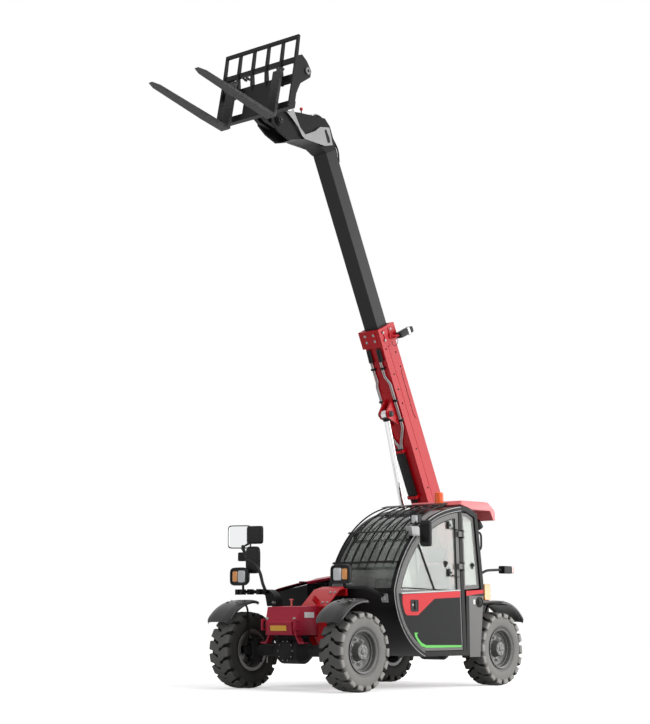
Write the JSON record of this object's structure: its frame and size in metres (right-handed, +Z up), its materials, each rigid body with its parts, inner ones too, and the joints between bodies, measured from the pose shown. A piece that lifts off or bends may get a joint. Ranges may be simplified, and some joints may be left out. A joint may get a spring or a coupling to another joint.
{
  "type": "compact telehandler",
  "caption": "Compact electric telehandler with side cab, two-stage boom, fork carriage and four-wheel steering, boom raised and run out.",
  "frame": {"origin": "on the ground at the middle of the overall length and width, boom raised", "axes": "+X forward, +Y to the left, the cab's side, +Z up"},
  "size_m": [4.8563, 2.245, 7.136],
  "materials": {
    "red_paint": "satin",
    "black_paint": "satin",
    "grey_paint": "satin",
    "tyre_rubber": "satin",
    "clear_glass": "satin",
    "black_plastic": "satin",
    "seat_vinyl": "satin",
    "chrome_rod": "satin",
    "amber_lens": "satin",
    "axle_iron": "satin",
    "worn_steel": "satin"
  },
  "bodies": {
    "chassis": {"chassis_frame": "red_paint", "nose_box": "red_paint", "counterweight": "black_paint", "battery_pack": "grey_paint", "side_bay": "black_paint", "front_axle": "axle_iron", "rear_axle": "axle_iron", "cab_frame": "black_paint", "cab_tub": "black_paint", "cab_roof": "black_paint", "cab_glass": "clear_glass", "quarter_panel": "grey_paint", "roof_guard": "black_paint", "seat_base": "black_plastic", "seat_cushion": "seat_vinyl", "seat_back": "seat_vinyl", "steering_column": "black_plastic", "control_console": "black_plastic", "rear_cowl": "red_paint", "beacon": "amber_lens", "lamp_arms": "black_paint", "headlamps": "black_plastic", "mirrors": "black_plastic", "work_lamps": "black_plastic", "tail_lamps": "black_plastic"},
    "door": {"door": "black_paint", "door_glass": "clear_glass", "door_mirror": "black_plastic"},
    "hood": {"hood": "red_paint"},
    "knuckle_front_left": {"knuckle_front_left": "axle_iron", "fender_front_left": "black_plastic"},
    "wheel_front_left": {"rim_front_left": "grey_paint", "tyre_front_left": "tyre_rubber"},
    "knuckle_front_right": {"knuckle_front_right": "axle_iron", "fender_front_right": "black_plastic"},
    "wheel_front_right": {"rim_front_right": "grey_paint", "tyre_front_right": "tyre_rubber"},
    "knuckle_rear_left": {"knuckle_rear_left": "axle_iron", "fender_rear_left": "black_plastic"},
    "wheel_rear_left": {"rim_rear_left": "grey_paint", "tyre_rear_left": "tyre_rubber"},
    "knuckle_rear_right": {"knuckle_rear_right": "axle_iron", "fender_rear_right": "black_plastic"},
    "wheel_rear_right": {"rim_rear_right": "grey_paint", "tyre_rear_right": "tyre_rubber"},
    "boom": {"boom_outer": "red_paint", "boom_services": "grey_paint"},
    "boom_inner": {"boom_inner": "black_paint", "boom_head": "grey_paint"},
    "lift_barrel": {"lift_barrel": "black_paint"},
    "lift_rod": {"lift_rod": "chrome_rod"},
    "tilt_barrel": {"tilt_barrel": "black_paint"},
    "tilt_rod": {"tilt_rod": "chrome_rod"},
    "carriage": {"carriage": "black_paint", "forks": "worn_steel"}
  },
  "joints": [
    {"name": "steer_front_left", "type": "hinge", "parent": "chassis", "child": "knuckle_front_left", "pos_m": [0.67, 0.65, 0.416], "axis": [0, 0, 1], "range_deg": [-28, 28]},
    {"name": "roll_front_left", "type": "hinge", "parent": "knuckle_front_left", "child": "wheel_front_left", "pos_m": [0.67, 0.79, 0.416], "axis": [0, 1, 0], "continuous": true},
    {"name": "steer_front_right", "type": "hinge", "parent": "chassis", "child": "knuckle_front_right", "pos_m": [0.67, -0.65, 0.416], "axis": [0, 0, 1], "range_deg": [-28, 28]},
    {"name": "roll_front_right", "type": "hinge", "parent": "knuckle_front_right", "child": "wheel_front_right", "pos_m": [0.67, -0.79, 0.416], "axis": [0, 1, 0], "continuous": true},
    {"name": "steer_rear_left", "type": "hinge", "parent": "chassis", "child": "knuckle_rear_left", "pos_m": [-1.81, 0.65, 0.416], "axis": [0, 0, 1], "range_deg": [-28, 28]},
    {"name": "roll_rear_left", "type": "hinge", "parent": "knuckle_rear_left", "child": "wheel_rear_left", "pos_m": [-1.81, 0.79, 0.416], "axis": [0, 1, 0], "continuous": true},
    {"name": "steer_rear_right", "type": "hinge", "parent": "chassis", "child": "knuckle_rear_right", "pos_m": [-1.81, -0.65, 0.416], "axis": [0, 0, 1], "range_deg": [-28, 28]},
    {"name": "roll_rear_right", "type": "hinge", "parent": "knuckle_rear_right", "child": "wheel_rear_right", "pos_m": [-1.81, -0.79, 0.416], "axis": [0, 1, 0], "continuous": true},
    {"name": "boom_lift", "type": "hinge", "parent": "chassis", "child": "boom", "pos_m": [-2.17, -0.2, 1.62], "axis": [0, -1, 0], "range_deg": [-74.5, 0]},
    {"name": "boom_extend", "type": "slide", "parent": "boom", "child": "boom_inner", "axis": [0.4305, 0, 0.9026], "range_m": [-1.9, 0]},
    {"name": "lift_barrel_swing", "type": "hinge", "parent": "chassis", "child": "lift_barrel", "pos_m": [-1.82, -0.2, 0.7], "axis": [0, -1, 0], "range_deg": [-61.67, 1]},
    {"name": "lift_rod_slide", "type": "slide", "parent": "lift_barrel", "child": "lift_rod", "axis": [0.2712, 0, 0.9625], "range_m": [-1.10756, 0.002]},
    {"name": "fork_tilt", "type": "hinge", "parent": "boom_inner", "child": "carriage", "pos_m": [0.88, -0.2, 6.28], "axis": [0, 1, 0], "range_deg": [-75, 55]},
    {"name": "tilt_barrel_swing", "type": "hinge", "parent": "boom_inner", "child": "tilt_barrel", "pos_m": [0.034, -0.2, 6.241], "axis": [0, 1, 0], "range_deg": [-6, 6]},
    {"name": "tilt_rod_slide", "type": "slide", "parent": "tilt_barrel", "child": "tilt_rod", "axis": [0.9709, 0, 0.2394], "range_m": [-0.18626, 0.13739]},
    {"name": "door_hinge", "type": "hinge", "parent": "chassis", "child": "door", "pos_m": [-1.048, 0.95, 1.3], "axis": [0, 0, 1], "range_deg": [0, 95]},
    {"name": "hood_hinge", "type": "hinge", "parent": "chassis", "child": "hood", "pos_m": [-0.57, -0.38, 1.262], "axis": [-1, 0, 0], "range_deg": [0, 60]}
  ],
  "couplings": [
    {"joint": "steer_front_right", "follows": "steer_front_left", "ratio": 1},
    {"joint": "steer_rear_left", "follows": "steer_front_left", "ratio": -1},
    {"joint": "steer_rear_right", "follows": "steer_front_left", "ratio": -1},
    {"joint": "lift_barrel_swing", "follows": "boom_lift", "ratio": 0.8211},
    {"joint": "lift_rod_slide", "follows": "boom_lift", "m_per_rad": 0.85025},
    {"joint": "tilt_barrel_swing", "follows": "fork_tilt", "ratio": 0.02},
    {"joint": "tilt_rod_slide", "follows": "fork_tilt", "m_per_rad": 0.14}
  ]
}
